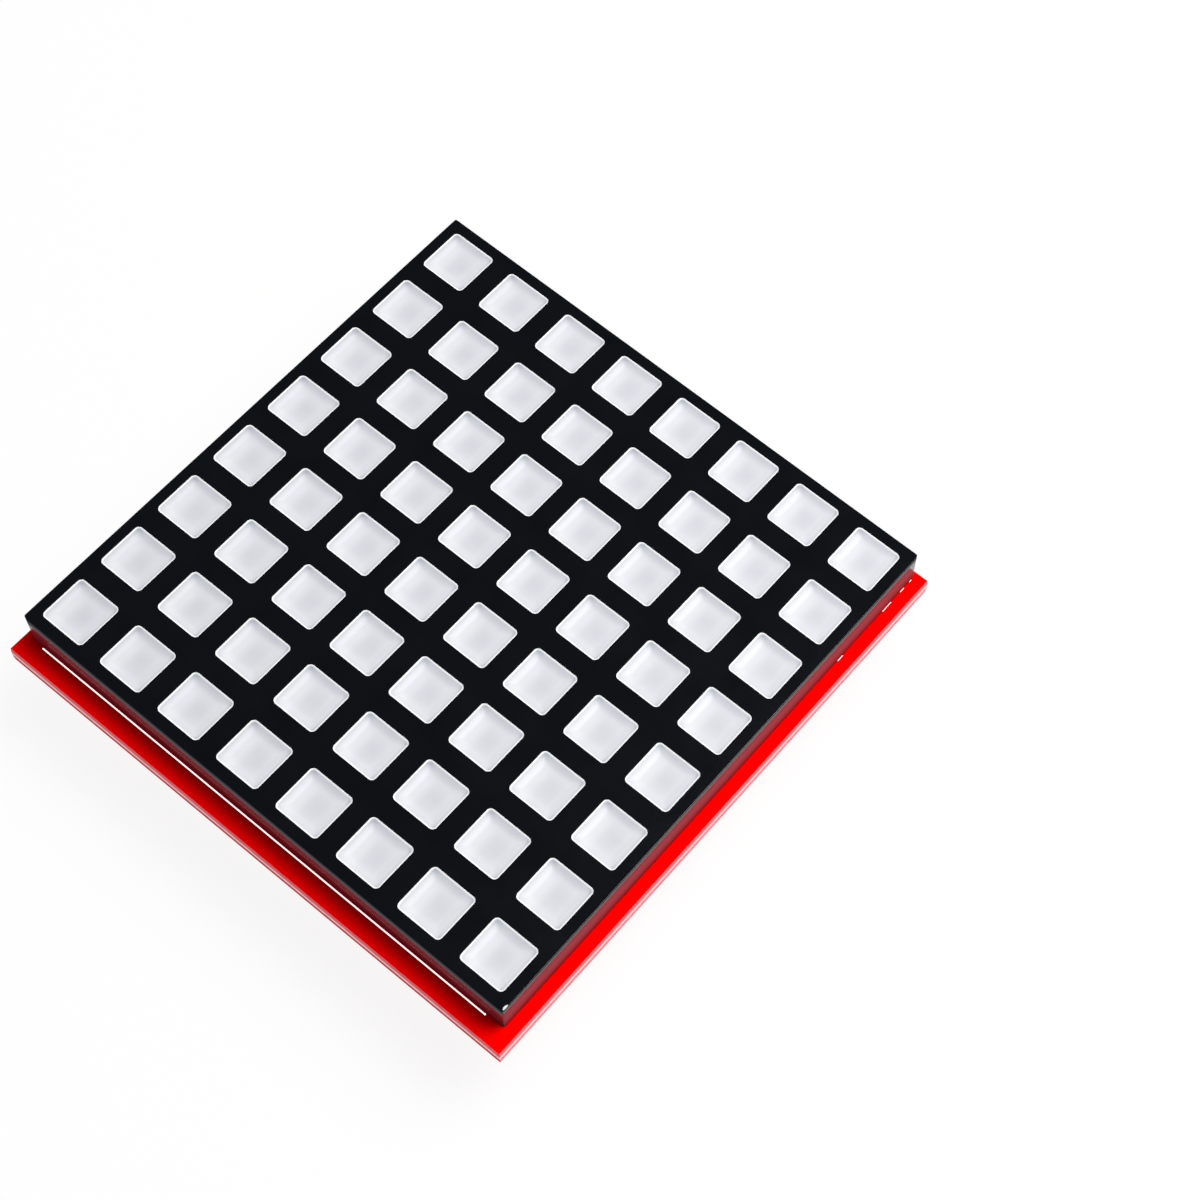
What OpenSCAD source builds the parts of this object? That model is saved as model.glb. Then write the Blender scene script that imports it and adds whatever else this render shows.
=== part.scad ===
// Full-colour LED dot matrix: an 8 x 8 display with square dots on its serial driver board.
// The face looks up (+Z) and the part stands on the tips of its two pin headers.
// Millimetres. The origin lies under the middle of the driver board, at the level of the tips.

/* [Dot face] */
// Distance between the middles of neighbouring dots
dot_pitch = 7.62; // [7.2:0.01:8.6]
// Width of one square dot
window_w = 5.3; // [4.8:0.05:5.8]
// Corner radius of a dot
window_r = 0.5; // [0.2:0.05:0.8]
// Distance from the face down to the rim of a dot's resin
window_drop = 0.05; // [0.02:0.01:0.2]
// Depth of the hollow that the resin sinks to as it cures
dish_depth = 0.35; // [0.1:0.05:0.5]

/* [Display frame] */
// Height of the moulded frame above the driver board
housing_h = 4.6; // [4:0.1:8]
// Width of the frame's border outside the outer dots
border_w = 1.18; // [1.15:0.01:2]
// Radius of the frame's upright corners
corner_r = 0.3; // [0.2:0.05:0.8]
// Chamfer along the frame's top edges
edge_chamfer = 0.08; // [0.04:0.02:0.3]
// Thickness of the frame's outer wall round the LED board
rim_t = 1; // [0.7:0.05:1.4]
// Depth of the straight upper part of a cup
lip_h = 0.8; // [0.4:0.1:1.6]
// Width of a cup at the LED board
cup_base_w = 3.6; // [2.8:0.1:4.4]

/* [Inside the display] */
// Thickness of the LED board in the frame
led_board_t = 0.8; // [0.5:0.1:1.2]
// Thickness of the resin seal behind the LED board
seal_t = 0.5; // [0.3:0.1:0.8]
// Distance from the frame's back edge in to the seal
seal_recess = 0.1; // [0.05:0.05:0.3]
// Clearance round the LED board and the seal in the frame
seat_clearance = 0.05; // [0.02:0.01:0.15]
// Width of one square LED die
die_w = 0.32; // [0.2:0.02:0.5]
// Height of one LED die
die_h = 0.2; // [0.1:0.02:0.3]
// Distance between the middles of neighbouring dice in a cup
die_spacing = 0.8; // [0.6:0.05:1]

/* [Display pins] */
// Diameter of a display pin
pin_d = 0.5; // [0.4:0.05:0.6]
// Distance between neighbouring display pins
pin_pitch = 2.54; // [2.4:0.01:2.8]
// Depth to which a pin is set into the LED board
pin_seat = 0.3; // [0.1:0.05:0.4]
// Length of a pin past the driver board's back
pin_out = 1.4; // [1:0.1:2.5]
// Radial clearance of a pin in the LED board, the seal and its solder
pin_fit = 0.03; // [0.02:0.01:0.06]
// Radial clearance of a pin in its hole in the driver board
hole_clearance = 0.2; // [0.1:0.05:0.3]
// Radius of a solder joint on the board
solder_r = 0.85; // [0.7:0.05:1]
// Height of a solder joint
solder_h = 0.8; // [0.4:0.1:1]

/* [Driver board] */
// Thickness of the driver board
board_t = 2.4; // [1.8:0.1:3]
// Width of board that shows on the left of the frame
margin_left = 0.8; // [0.3:0.05:4]
// Width of board that shows on the right of the frame
margin_right = 1.35; // [0.3:0.05:4]
// Width of board that shows in front of the frame
margin_front = 2.25; // [0.3:0.05:4]
// Width of board that shows behind the frame
margin_back = 0.6; // [0.3:0.05:4]
// Depth of the score cut along the edges of each face
score_depth = 0.8; // [0.2:0.05:0.85]
// How far a score cut slopes in from the board's edge
score_in = 0.06; // [0.02:0.01:0.3]

/* [Pin headers] */
// Distance between neighbouring header pins
header_pitch = 2.54; // [2:0.01:2.8]
// Width of a square header pin
header_pin_w = 0.64; // [0.5:0.02:0.8]
// Width of a header's plastic base
header_base_w = 2.5; // [2:0.05:2.8]
// Height of a header's plastic base
header_base_h = 2.54; // [1.5:0.01:4]
// Corner cut between neighbouring places of the base
header_notch = 0.45; // [0.2:0.05:0.6]
// Free length of a header pin below its base
header_pin_out = 6; // [4:0.1:12]
// Length of the taper at a pin's tip
pin_taper = 0.5; // [0.2:0.05:0.8]
// Distance from a header's middle line to the end of a pin's foot
header_foot = 2.9; // [2.2:0.05:3.4]
// Distance from the frame's side in to a header's middle line
header_inset = 4.4; // [3.6:0.1:6]

/* [Driver chips] */
// Length of a shift register's body
register_l = 9.9; // [9.8:0.05:10.6]
// Width of a shift register's body
register_w = 3.9; // [3.4:0.05:4.4]
// Height of a shift register's body
register_h = 1.45; // [1.2:0.05:2]
// Width of a shift register over its leads
register_span = 6; // [5.8:0.05:6.6]
// Distance between neighbouring leads of a register
lead_pitch = 1.27; // [1:0.01:1.29]
// Width of a lead
lead_w = 0.42; // [0.3:0.02:0.5]
// Thickness of a lead
lead_t = 0.2; // [0.12:0.01:0.25]
// Length of a register lead's foot
lead_foot = 0.6; // [0.4:0.05:0.7]
// Gap under a chip's body
chip_lift = 0.15; // [0.05:0.01:0.25]
// How far a chip's sides slope in from its parting line
chip_draft = 0.12; // [0.04:0.01:0.2]
// Distance between the bodies of neighbouring registers
register_gap = 7.1; // [5:0.1:8]
// Length of a transistor's body
transistor_l = 2.9; // [2.7:0.05:3.2]
// Width of a transistor's body
transistor_w = 1.3; // [1.1:0.05:1.4]
// Height of a transistor's body
transistor_h = 1; // [0.8:0.05:1.2]
// Width of a transistor over its leads
transistor_span = 2.4; // [2.3:0.05:2.8]
// Distance from a transistor's middle to its outer leads
transistor_lead_x = 0.95; // [0.8:0.01:1]
// Length of a transistor lead's foot
transistor_foot = 0.25; // [0.15:0.01:0.3]
// Distance between the bodies of neighbouring transistors
transistor_gap = 2.4; // [1.5:0.1:2.6]

/* [Small parts] */
// Length of a resistor or bypass capacitor
chip_l = 1.6; // [1.4:0.05:2]
// Width of a resistor or bypass capacitor
chip_w = 0.8; // [0.6:0.05:0.9]
// Height of a resistor
resistor_h = 0.45; // [0.35:0.05:0.6]
// Height of a bypass capacitor
bypass_h = 0.8; // [0.6:0.05:1]
// Length of the bulk capacitor
bulk_l = 3.2; // [2.8:0.1:4]
// Width of the bulk capacitor
bulk_w = 1.6; // [1.2:0.1:2]
// Height of the bulk capacitor
bulk_h = 1.4; // [1:0.1:1.8]
// Length of a metal end along the body
end_l = 0.3; // [0.2:0.05:0.4]
// Thickness of a metal end's plating
end_t = 0.04; // [0.02:0.01:0.08]
// Distance between neighbouring resistors of one register
resistor_gap = 0.45; // [0.3:0.05:0.5]
// Distance between the rows of parts on the board's back
part_gap = 1.6; // [1:0.1:2]

/* [Hidden] */
$fn = 48;
rows = 8;
columns = 8;
pins_per_row = 16;
header_pins = 5;
column_registers = 3;
leads_per_side = 8;
lead_shoulder = 0.25;   // flat stretch of a lead beside the body
dimple_r = 0.4;         // mark beside a register's first lead
dimple_depth = 0.1;
dimple_in = 0.95;       // from the body's end and side to the mark
solder_tip_r = 0.36;
cut = 1;                // how far a cutting shape runs past the face it opens

// The display's square outline, and the driver board round it
housing_w = (columns - 1) * dot_pitch + window_w + 2 * border_w;
board_w = housing_w + margin_left + margin_right;
board_l = housing_w + margin_front + margin_back;
display_x = (margin_left - margin_right) / 2;
display_y = (margin_front - margin_back) / 2;

// Levels from the pin tips up
base_bottom = header_pin_out;
base_top = base_bottom + header_base_h;
board_bottom = base_top + header_pin_w;
board_top = board_bottom + board_t;

// Levels inside the display, counted from the driver board's face
led_board_z = seal_recess + seal_t;
cup_floor = led_board_z + led_board_t;
resin_rim = housing_h - window_drop;
seat_w = housing_w - 2 * rim_t;

// Radius of the hollow: it sinks to dish_depth and rises to the rim in a dot's corners
dot_corner = (window_w / 2 - window_r) * sqrt(2) + window_r;
dish_r = (pow(dot_corner, 2) + pow(dish_depth, 2)) / (2 * dish_depth);

// Places on the driver board, counted from the display's middle
pin_row_y = (rows - 1) / 2 * dot_pitch;
header_x = housing_w / 2 - header_inset;
column_resistor_y = pin_row_y - solder_r - part_gap - chip_l / 2;
column_register_y = column_resistor_y - chip_l / 2 - part_gap - register_span / 2;
transistor_y = -(pin_row_y - solder_r - part_gap - transistor_span / 2);
base_resistor_y = transistor_y + transistor_span / 2 + part_gap + chip_l / 2;
row_register_y = base_resistor_y + chip_l / 2 + part_gap + register_span / 2;
register_step = register_l + register_gap;
transistor_step = transistor_l + transistor_gap;
bypass_x = register_l / 2 + part_gap + chip_w / 2;
bulk_x = header_foot + part_gap + bulk_w / 2 - header_x;

register_places = concat(
    [for (i = [0 : column_registers - 1])
        [(i - (column_registers - 1) / 2) * register_step, column_register_y]],
    [[0, row_register_y]]);
column_resistor_places = [
    for (i = [0 : column_registers - 1], j = [0 : columns - 1])
        [register_places[i].x + (j - (columns - 1) / 2) * (chip_w + resistor_gap),
         column_resistor_y]];
transistor_places = [
    for (i = [0 : rows - 1]) [(i - (rows - 1) / 2) * transistor_step, transistor_y]];
base_resistor_places = [for (p = transistor_places) [p.x, base_resistor_y]];
bypass_places = [for (p = register_places) [p.x + bypass_x, p.y]];

// ---- shapes that repeat ----

// A profile in X and Z, drawn out along Y on both sides of the middle
module along_y(profile, length)
    rotate([90, 0, 0])
        linear_extrude(height = length, center = true)
            polygon(profile);

// A profile in Y and Z, drawn out along X on both sides of the middle
module along_x(profile, length)
    rotate([90, 0, 90])
        linear_extrude(height = length, center = true)
            polygon(profile);

// The solid that has one profile when seen along Y and another when seen along X
module two_way(x_profile, y_profile, reach)
    intersection() {
        along_y(x_profile, reach);
        along_x(y_profile, reach);
    }

// A square with round corners
module round_square(w, r) {
    square([w, w - 2 * r], center = true);
    square([w - 2 * r, w], center = true);
    for (x = [-1, 1], y = [-1, 1])
        translate([x * (w / 2 - r), y * (w / 2 - r)])
            circle(r = r);
}

// Something at each place of a list
module at_each(places)
    for (p = places)
        translate([p.x, p.y, 0])
            children();

// Something on the display's own middle, on the driver board's face
module on_board_face()
    translate([display_x, display_y, board_top])
        children();

// Something that stands on the driver board's back, drawn the right way up
module on_board_back()
    translate([display_x, display_y, board_bottom])
        mirror([0, 0, 1])
            children();

// Something at each dot of one row
module at_dots(row)
    for (c = [1 : columns])
        translate([(c - (columns + 1) / 2) * dot_pitch, (row - (rows + 1) / 2) * dot_pitch, 0])
            children();

// ---- display ----

// The inside of a cup: straight at the face, then tapering to the LED board
function cup_profile(bottom, top) = [
    [-cup_base_w / 2, bottom],
    [cup_base_w / 2, bottom],
    [cup_base_w / 2, cup_floor],
    [window_w / 2, housing_h - lip_h],
    [window_w / 2, top],
    [-window_w / 2, top],
    [-window_w / 2, housing_h - lip_h],
    [-cup_base_w / 2, cup_floor]];

module cup(bottom, top)
    intersection() {
        two_way(cup_profile(bottom, top), cup_profile(bottom, top), window_w + 2 * cut);
        translate([0, 0, bottom])
            linear_extrude(height = top - bottom)
                round_square(window_w, window_r);
    }

// The frame's outline seen from a side, with its chamfered top edges
function housing_profile() = [
    [-housing_w / 2, 0],
    [housing_w / 2, 0],
    [housing_w / 2, housing_h - edge_chamfer],
    [housing_w / 2 - edge_chamfer, housing_h],
    [edge_chamfer - housing_w / 2, housing_h],
    [-housing_w / 2, housing_h - edge_chamfer]];

module housing()
    color([0.07, 0.07, 0.08])
        on_board_face()
            difference() {
                intersection() {
                    linear_extrude(height = housing_h)
                        round_square(housing_w, corner_r);
                    two_way(housing_profile(), housing_profile(), housing_w + 2 * cut);
                }
                for (r = [1 : rows])
                    at_dots(r)
                        cup(cup_floor - led_board_t / 2, housing_h + cut);
                translate([-seat_w / 2, -seat_w / 2, -cut])
                    cube([seat_w, seat_w, cup_floor + cut]);
            }

// The resin climbs the walls, and highest in the corners
module dish()
    translate([0, 0, resin_rim + dish_r - dish_depth])
        sphere(r = dish_r, $fn = 120);

// Place of a die along a cup, as a step of -1, 0 or 1 from the middle
module die(step)
    translate([step * die_spacing - die_w / 2, -die_w / 2, cup_floor])
        cube([die_w, die_w, die_h]);

module window_row(row)
    color([0.9, 0.91, 0.93])
        on_board_face()
            at_dots(row)
                difference() {
                    cup(cup_floor, resin_rim);
                    dish();
                    for (step = [-1 : 1])
                        die(step);
                }

module dies(step, tint)
    color(tint)
        on_board_face()
            for (r = [1 : rows])
                at_dots(r)
                    die(step);

module red_dies() dies(0, [0.75, 0.2, 0.15]);
module green_dies() dies(-1, [0.3, 0.7, 0.35]);
module blue_dies() dies(1, [0.25, 0.4, 0.8]);

// The plate that fills the frame's back, less its clearance
module seat_plate(bottom, height)
    translate([seat_clearance - seat_w / 2, seat_clearance - seat_w / 2, bottom])
        cube([seat_w - 2 * seat_clearance, seat_w - 2 * seat_clearance, height]);

// Something at each pin of one row: side is -1 for the front row and 1 for the back row
module at_pins(side)
    for (i = [0 : pins_per_row - 1])
        translate([(i - (pins_per_row - 1) / 2) * pin_pitch, side * pin_row_y, 0])
            children();

module led_board()
    color([0.85, 0.85, 0.8])
        on_board_face()
            difference() {
                seat_plate(led_board_z, led_board_t);
                for (side = [-1, 1])
                    at_pins(side)
                        translate([0, 0, led_board_z - cut])
                            cylinder(h = pin_seat + cut, r = pin_d / 2 + pin_fit);
            }

module back_seal()
    color([0.75, 0.76, 0.74])
        on_board_face()
            difference() {
                seat_plate(seal_recess, seal_t);
                for (side = [-1, 1])
                    at_pins(side)
                        translate([0, 0, seal_recess - cut])
                            cylinder(h = seal_t + 2 * cut, r = pin_d / 2 + pin_fit);
            }

module display_pins(side)
    color([0.78, 0.78, 0.76])
        on_board_face()
            at_pins(side)
                translate([0, 0, -board_t - pin_out])
                    cylinder(h = pin_out + board_t + led_board_z + pin_seat, r = pin_d / 2);

module display_pins_front() display_pins(-1);
module display_pins_back() display_pins(1);

module pin_solder()
    color([0.8, 0.8, 0.82])
        on_board_back()
            for (side = [-1, 1])
                at_pins(side)
                    difference() {
                        cylinder(h = solder_h, r1 = solder_r, r2 = solder_tip_r);
                        translate([0, 0, -cut])
                            cylinder(h = solder_h + 2 * cut, r = pin_d / 2 + pin_fit);
                    }

// ---- driver board ----

// A snapped edge: score cuts slope in from the web that is left between them
function scored_profile(w) = [
    [score_in - w / 2, 0],
    [w / 2 - score_in, 0],
    [w / 2, score_depth],
    [w / 2, board_t - score_depth],
    [w / 2 - score_in, board_t],
    [score_in - w / 2, board_t],
    [-w / 2, board_t - score_depth],
    [-w / 2, score_depth]];

module circuit_board()
    color([0.9, 0.03, 0.02])
        difference() {
            translate([0, 0, board_bottom])
                two_way(scored_profile(board_w), scored_profile(board_l), board_w + board_l);
            translate([display_x, display_y, board_bottom - cut])
                for (side = [-1, 1])
                    at_pins(side)
                        cylinder(h = board_t + 2 * cut, r = pin_d / 2 + hole_clearance);
        }

// ---- chips ----

// A moulded chip body from the middle of its underside: it widens to a parting band
// as high as a lead is thick
function chip_profile(w, h) = [
    [chip_draft - w / 2, 0],
    [w / 2 - chip_draft, 0],
    [w / 2, (h - lead_t) / 2],
    [w / 2, (h + lead_t) / 2],
    [w / 2 - chip_draft, h],
    [chip_draft - w / 2, h],
    [-w / 2, (h + lead_t) / 2],
    [-w / 2, (h - lead_t) / 2]];

module chip_body(l, w, h)
    translate([0, 0, chip_lift])
        two_way(chip_profile(l, h), chip_profile(w, h), l + w);

// One gull-wing lead on the +Y side: out from the parting band, down, and out along the board
module lead(w, h, span, foot)
    let (band = chip_lift + h / 2, out = w / 2 + lead_shoulder, heel = span / 2 - foot)
        along_x([
            [w / 2, band - lead_t / 2],
            [out - lead_t / 2, band - lead_t / 2],
            [heel - lead_t / 2, 0],
            [span / 2, 0],
            [span / 2, lead_t],
            [heel + lead_t / 2, lead_t],
            [out + lead_t / 2, band + lead_t / 2],
            [w / 2, band + lead_t / 2]],
            lead_w);

module shift_register(i)
    color([0.1, 0.1, 0.11])
        on_board_back()
            translate(register_places[i - 1])
                difference() {
                    chip_body(register_l, register_w, register_h);
                    translate([dimple_in - register_l / 2, dimple_in - register_w / 2,
                               chip_lift + register_h - dimple_depth])
                        cylinder(h = dimple_depth + cut, r = dimple_r);
                }

module register_leads(i)
    color([0.75, 0.75, 0.75])
        on_board_back()
            translate(register_places[i - 1])
                for (side = [0, 1], j = [0 : leads_per_side - 1])
                    mirror([0, side, 0])
                        translate([(j - (leads_per_side - 1) / 2) * lead_pitch, 0, 0])
                            lead(register_w, register_h, register_span, lead_foot);

module row_transistors()
    color([0.12, 0.12, 0.13])
        on_board_back()
            at_each(transistor_places)
                chip_body(transistor_l, transistor_w, transistor_h);

module transistor_lead()
    lead(transistor_w, transistor_h, transistor_span, transistor_foot);

module transistor_leads()
    color([0.75, 0.75, 0.75])
        on_board_back()
            at_each(transistor_places) {
                transistor_lead();
                for (x = [-1, 1])
                    translate([x * transistor_lead_x, 0, 0])
                        mirror([0, 1, 0])
                            transistor_lead();
            }

// ---- small parts ----

// The ceramic block of a small part that lies along Y, held in its plated ends
module block(l, w, h)
    translate([end_t - w / 2, end_t - l / 2, end_t])
        cube([w - 2 * end_t, l - 2 * end_t, h - 2 * end_t]);

// The two metal ends, each a cap folded round the block
module ends(l, w, h)
    difference() {
        for (side = [0, 1])
            mirror([0, side, 0])
                translate([-w / 2, l / 2 - end_l, 0])
                    cube([w, end_l, h]);
        block(l, w, h);
    }

module blocks_at(places, l, w, h, tint)
    color(tint)
        on_board_back()
            at_each(places)
                block(l, w, h);

module ends_at(places, l, w, h)
    color([0.82, 0.82, 0.82])
        on_board_back()
            at_each(places)
                ends(l, w, h);

resistor_tint = [0.08, 0.08, 0.09];
capacitor_tint = [0.65, 0.52, 0.38];
bulk_places = [[bulk_x, 0]];

module column_resistors() blocks_at(column_resistor_places, chip_l, chip_w, resistor_h, resistor_tint);
module column_resistor_ends() ends_at(column_resistor_places, chip_l, chip_w, resistor_h);
module base_resistors() blocks_at(base_resistor_places, chip_l, chip_w, resistor_h, resistor_tint);
module base_resistor_ends() ends_at(base_resistor_places, chip_l, chip_w, resistor_h);
module bypass_capacitors() blocks_at(bypass_places, chip_l, chip_w, bypass_h, capacitor_tint);
module bypass_capacitor_ends() ends_at(bypass_places, chip_l, chip_w, bypass_h);
module bulk_capacitor() blocks_at(bulk_places, bulk_l, bulk_w, bulk_h, capacitor_tint);
module bulk_capacitor_ends() ends_at(bulk_places, bulk_l, bulk_w, bulk_h);

// ---- pin headers ----

// Something in a header's own frame: side is -1 for the input and 1 for the output
module at_header(side)
    translate([display_x + side * header_x, display_y, 0])
        children();

function header_pin_y(i) = (i - (header_pins - 1) / 2) * header_pitch;

// One long edge of the base, from front to back, notched between the pins
function base_edge(side) = [
    for (i = [0 : header_pins - 1], p = [
        [header_base_w / 2 - header_notch, -header_pitch / 2],
        [header_base_w / 2, header_notch - header_pitch / 2],
        [header_base_w / 2, header_pitch / 2 - header_notch],
        [header_base_w / 2 - header_notch, header_pitch / 2]])
        [side * p.x, side * (header_pin_y(i) + p.y)]];

module header_base(side)
    color([0.09, 0.09, 0.1])
        at_header(side)
            difference() {
                translate([0, 0, base_bottom])
                    linear_extrude(height = header_base_h)
                        polygon(concat(base_edge(1), base_edge(-1)));
                for (i = [0 : header_pins - 1])
                    translate([-header_pin_w / 2, header_pin_y(i) - header_pin_w / 2,
                               base_bottom - cut])
                        cube([header_pin_w, header_pin_w, header_base_h + 2 * cut]);
            }

// A square pin that stands on its tapered tip
function post_profile() = [
    [-header_pin_w / 4, 0],
    [header_pin_w / 4, 0],
    [header_pin_w / 2, pin_taper],
    [header_pin_w / 2, board_bottom],
    [-header_pin_w / 2, board_bottom],
    [-header_pin_w / 2, pin_taper]];

// The feet turn out to alternate sides and lie on the board's back
module header_pin_row(side)
    color([0.85, 0.68, 0.3])
        at_header(side)
            for (i = [0 : header_pins - 1])
                translate([0, header_pin_y(i), 0])
                    mirror([i % 2, 0, 0]) {
                        two_way(post_profile(), post_profile(), 2 * header_pin_w);
                        translate([-header_pin_w / 2, -header_pin_w / 2, base_top])
                            cube([header_foot + header_pin_w / 2, header_pin_w, header_pin_w]);
                    }

module input_header_base() header_base(-1);
module input_header_pins() header_pin_row(-1);
module output_header_base() header_base(1);
module output_header_pins() header_pin_row(1);

housing();
for (r = [1 : rows])
    window_row(r);
led_board();
back_seal();
red_dies();
green_dies();
blue_dies();
display_pins_front();
display_pins_back();
pin_solder();
circuit_board();
for (i = [1 : len(register_places)])
    shift_register(i);
for (i = [1 : len(register_places)])
    register_leads(i);
row_transistors();
transistor_leads();
column_resistors();
column_resistor_ends();
base_resistors();
base_resistor_ends();
bypass_capacitors();
bypass_capacitor_ends();
bulk_capacitor();
bulk_capacitor_ends();
input_header_base();
input_header_pins();
output_header_base();
output_header_pins();
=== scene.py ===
"""Looks for the LED dot matrix: a square-dot display in a black frame on a red driver board."""
import math

import bpy
from mathutils import Matrix, Vector


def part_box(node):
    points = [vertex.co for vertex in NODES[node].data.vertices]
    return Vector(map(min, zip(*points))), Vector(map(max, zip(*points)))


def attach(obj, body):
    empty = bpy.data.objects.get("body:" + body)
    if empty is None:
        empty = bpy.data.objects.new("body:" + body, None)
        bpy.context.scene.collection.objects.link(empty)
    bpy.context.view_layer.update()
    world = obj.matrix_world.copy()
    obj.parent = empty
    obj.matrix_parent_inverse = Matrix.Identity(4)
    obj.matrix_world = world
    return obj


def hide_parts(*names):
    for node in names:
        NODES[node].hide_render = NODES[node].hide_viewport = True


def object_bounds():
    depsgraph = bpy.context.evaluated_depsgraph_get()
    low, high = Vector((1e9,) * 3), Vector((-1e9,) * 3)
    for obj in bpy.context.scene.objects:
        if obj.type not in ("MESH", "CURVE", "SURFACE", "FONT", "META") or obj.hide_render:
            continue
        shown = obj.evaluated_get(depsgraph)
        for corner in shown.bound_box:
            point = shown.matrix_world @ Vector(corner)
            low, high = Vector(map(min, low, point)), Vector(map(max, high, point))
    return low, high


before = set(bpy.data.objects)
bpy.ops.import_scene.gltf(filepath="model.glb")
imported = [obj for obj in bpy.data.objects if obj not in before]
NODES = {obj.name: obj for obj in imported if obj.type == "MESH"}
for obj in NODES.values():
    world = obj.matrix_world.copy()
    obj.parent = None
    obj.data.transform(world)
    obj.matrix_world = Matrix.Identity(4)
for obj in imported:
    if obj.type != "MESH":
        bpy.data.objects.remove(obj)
cad_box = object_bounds()

MM = 0.001
ROWS = COLUMNS = 8
REGISTERS = 4


# ---- what the frame says ----
def corners(node):
    """The low and the high corner of a node's box."""
    return tuple(Vector(c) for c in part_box(node))


FRAME_LOW, FRAME_HIGH = corners("housing")
BOARD_LOW, BOARD_HIGH = corners("circuit_board")
ROW_LOW, ROW_HIGH = corners("window_row_1")
LAST_ROW_LOW = corners(f"window_row_{ROWS}")[0]
FACE_Z = FRAME_HIGH.z
MIDDLE = Vector(((FRAME_LOW.x + FRAME_HIGH.x) / 2, (FRAME_LOW.y + FRAME_HIGH.y) / 2, FACE_Z))
PITCH = (LAST_ROW_LOW.y - ROW_LOW.y) / (ROWS - 1)
DOT_HALF = (ROW_HIGH.y - ROW_LOW.y) / 2
RESIN_RIM = ROW_HIGH.z
CUP_FLOOR = ROW_LOW.z
BACK_Z = BOARD_LOW.z


def middle_of(box):
    return (box[0] + box[1]) / 2


def numbered(stem, count):
    return [f"{stem}_{i}" for i in range(1, count + 1)]


def loose_parts(node):
    """The box of each separate part of a node's mesh."""
    thing = NODES[node]
    spots = [thing.matrix_world @ v.co for v in thing.data.vertices]
    same_spot = 0.001 * MM
    keys = [tuple(round(c / same_spot) for c in p) for p in spots]
    parent = {key: key for key in keys}

    def root(key):
        while parent[key] != key:
            parent[key] = parent[parent[key]]
            key = parent[key]
        return key

    for face in thing.data.polygons:
        first, *others = (keys[i] for i in face.vertices)
        for other in others:
            parent[root(other)] = root(first)
    groups = {}
    for key, p in zip(keys, spots):
        groups.setdefault(root(key), []).append(p)
    return [(Vector(map(min, zip(*group))), Vector(map(max, zip(*group))))
            for group in groups.values()]


# ---- camera ----
CAMERA_FROM_FACE = Vector((88.386, -81.423, 228.269)) * MM
TARGET_FROM_FACE = Vector((22.264, 16.922, 0)) * MM
CAMERA_ROLL = math.radians(5.92)
LENS_MM = 79.557
SENSOR_MM = 36
SHIFT_X = -0.1384
NEAREST = 0.01
FARTHEST = 20


def add_camera():
    data = bpy.data.cameras.new("camera")
    data.lens = LENS_MM
    data.sensor_width = SENSOR_MM
    data.shift_x = SHIFT_X
    data.clip_start = NEAREST
    data.clip_end = FARTHEST
    camera = bpy.data.objects.new("camera", data)
    bpy.context.collection.objects.link(camera)
    place = MIDDLE + CAMERA_FROM_FACE
    look = MIDDLE + TARGET_FROM_FACE - place
    turn = look.to_track_quat("-Z", "Y").to_matrix().to_4x4()
    roll = Matrix.Rotation(CAMERA_ROLL, 4, "Z")
    camera.matrix_world = Matrix.Translation(place) @ turn @ roll
    bpy.context.scene.camera = camera


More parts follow.
